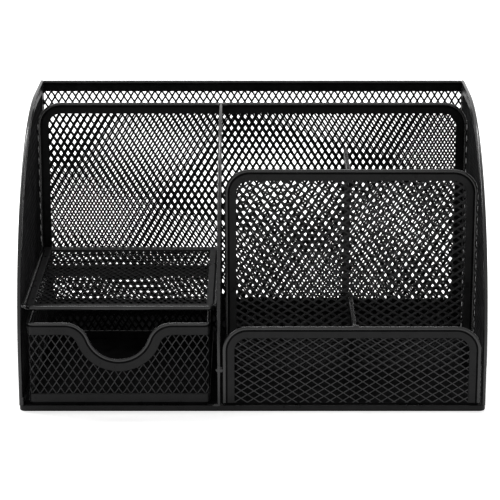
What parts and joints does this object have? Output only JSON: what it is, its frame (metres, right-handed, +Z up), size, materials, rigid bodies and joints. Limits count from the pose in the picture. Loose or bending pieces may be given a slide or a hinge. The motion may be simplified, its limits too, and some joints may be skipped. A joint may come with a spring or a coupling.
{
  "type": "pen stand with drawer",
  "caption": "Desk pen stand in black expanded metal mesh: letter slot at the back, pen cups, front trays, note shelf over a sliding drawer with a finger scoop.",
  "frame": {"origin": "middle of the rectangular footprint, on the surface that the stand rests on", "axes": "+X to the right seen from the front, the long way; +Y to the back; +Z up"},
  "size_m": [0.22, 0.14, 0.13],
  "materials": {
    "mesh": "satin black powder coat over expanded steel sheet",
    "strip": "satin black powder coat over smooth steel strip and sheet"
  },
  "bodies": {
    "frame": {"left_side_mesh": "mesh", "right_side_mesh": "mesh", "back_mesh": "mesh", "letter_divider_mesh": "mesh", "cup_front_mesh": "mesh", "front_panel_mesh": "mesh", "partition_mesh": "mesh", "cup_divider_mesh": "mesh", "tray_divider_mesh": "mesh", "shelf_mesh": "mesh", "floor_sheet": "strip", "base_rail": "strip", "left_side_trim": "strip", "right_side_trim": "strip", "back_top_trim": "strip", "back_bottom_trim": "strip", "letter_divider_trim": "strip", "cup_front_trim": "strip", "front_panel_trim": "strip", "partition_trim": "strip", "cup_divider_trim": "strip", "tray_divider_trim": "strip", "shelf_trim": "strip"},
    "drawer": {"drawer_wall_mesh": "mesh", "drawer_floor_sheet": "strip", "drawer_top_rim": "strip", "drawer_bottom_rim": "strip"}
  },
  "joints": [
    {"name": "drawer_slide", "type": "slide", "parent": "frame", "child": "drawer", "axis": [0, -1, 0], "range_m": [0, 0.085]}
  ]
}
